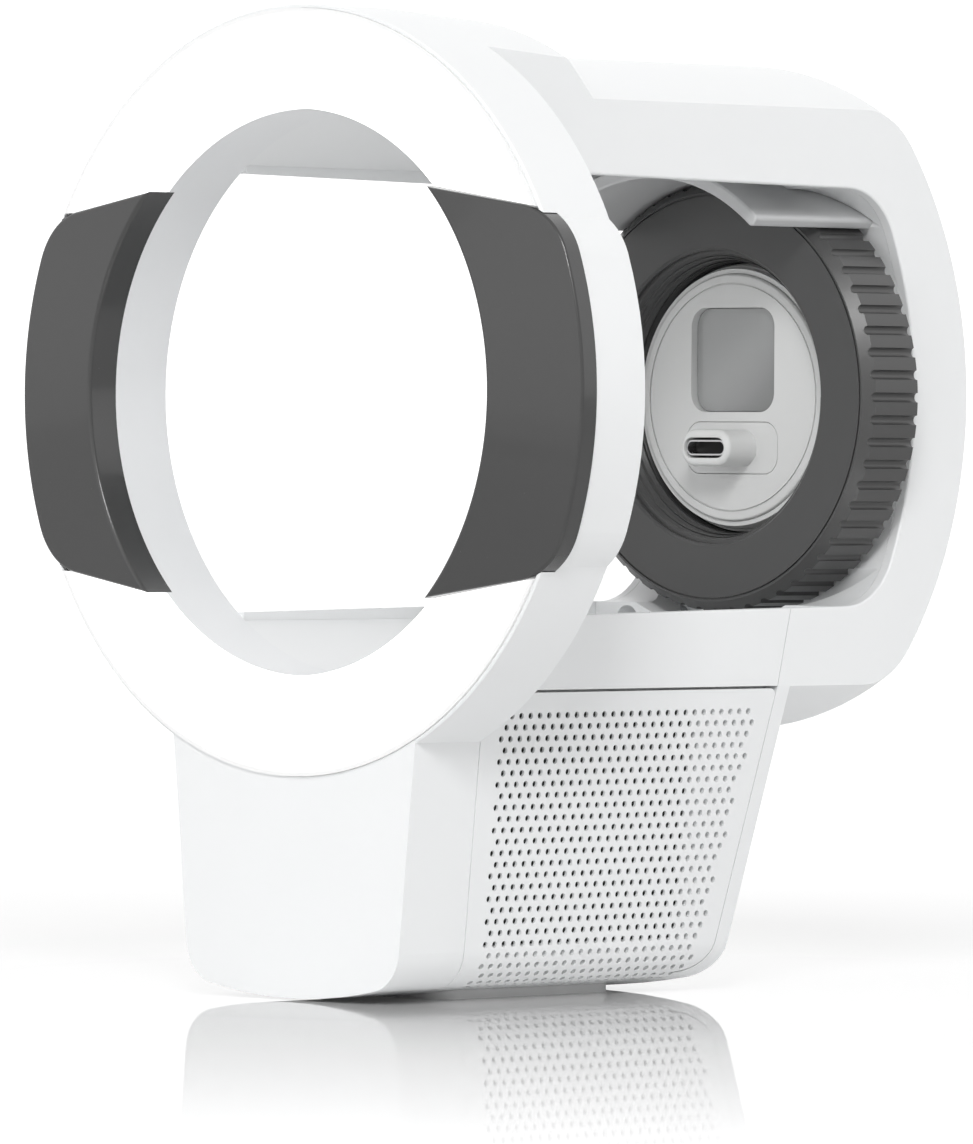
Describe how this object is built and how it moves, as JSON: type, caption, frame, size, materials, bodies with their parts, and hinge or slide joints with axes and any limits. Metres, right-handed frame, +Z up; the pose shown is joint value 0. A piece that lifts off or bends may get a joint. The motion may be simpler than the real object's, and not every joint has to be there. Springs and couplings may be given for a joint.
{
  "type": "phoropter head",
  "caption": "Desk-top eye-test viewer: a lit ring with side pads opens into a windowed tunnel on a speaker stand, with a fluted focus wheel and a docking plug.",
  "frame": {"origin": "centre of the whole part's footprint box, on the table it stands on", "axes": "+Z up, -Y out of the lit ring along the optical axis, +X to the right seen from the ring side"},
  "size_m": [0.12, 0.1279, 0.149],
  "materials": {
    "shell_white": "fine satin moulded plastic",
    "sleeve_grey": "satin moulded plastic",
    "liner_white": "satin moulded plastic",
    "hood_grey": "satin moulded plastic",
    "diffuser": "milky diffuser",
    "pad_dark": "smooth dark lens plastic, semi-gloss",
    "wheel_dark": "dark grey moulded plastic",
    "dock_white": "satin moulded plastic",
    "dock_window": "smooth grey tinted window",
    "steel": "bright drawn steel",
    "contact_black": "black insulator",
    "circuit_board": "solder-masked board",
    "inner_black": "black glass-filled plastic",
    "battery_wrap": "shrink-wrapped cell pack",
    "foot_rubber": "grey elastomer"
  },
  "bodies": {
    "root": {"front_frame": "shell_white", "main_housing": "shell_white", "lower_beam": "shell_white", "grille_shell": "shell_white", "bore_sleeve": "sleeve_grey", "tunnel_liner_upper": "liner_white", "tunnel_liner_lower": "liner_white", "wheel_hood_upper": "hood_grey", "bulkhead": "liner_white", "thrust_washer": "wheel_dark", "diffuser_upper": "diffuser", "diffuser_lower": "diffuser", "side_pad_left": "pad_dark", "side_pad_right": "pad_dark", "guide_pins": "steel", "frame_screws": "steel", "bulkhead_screws": "steel", "led_board_upper": "circuit_board", "led_board_lower": "circuit_board", "pad_board_left": "circuit_board", "pad_board_right": "circuit_board", "main_board": "circuit_board", "chassis": "inner_black", "battery": "battery_wrap", "speaker_left": "inner_black", "speaker_right": "inner_black", "foot_pad": "foot_rubber"},
    "wheel": {"focus_wheel": "wheel_dark", "threaded_nut": "wheel_dark", "wheel_retainer": "wheel_dark"},
    "dock": {"threaded_barrel": "dock_white", "dock_disc": "dock_white", "recess_cup": "dock_window", "connector_plate": "dock_white", "plug_shell": "steel", "plug_core": "contact_black", "dock_board": "circuit_board", "dock_carrier": "dock_white"}
  },
  "joints": [
    {"name": "focus_turn", "type": "hinge", "parent": "root", "child": "wheel", "pos_m": [0, 0.03445, 0.091], "axis": [0, 1, 0], "range_deg": [-360, 360]},
    {"name": "dock_slide", "type": "slide", "parent": "root", "child": "dock", "axis": [0, 1, 0], "range_m": [-0.0015, 0.0015]}
  ],
  "couplings": [
    {"joint": "dock_slide", "follows": "focus_turn", "m_per_rad": 0.0002387}
  ]
}
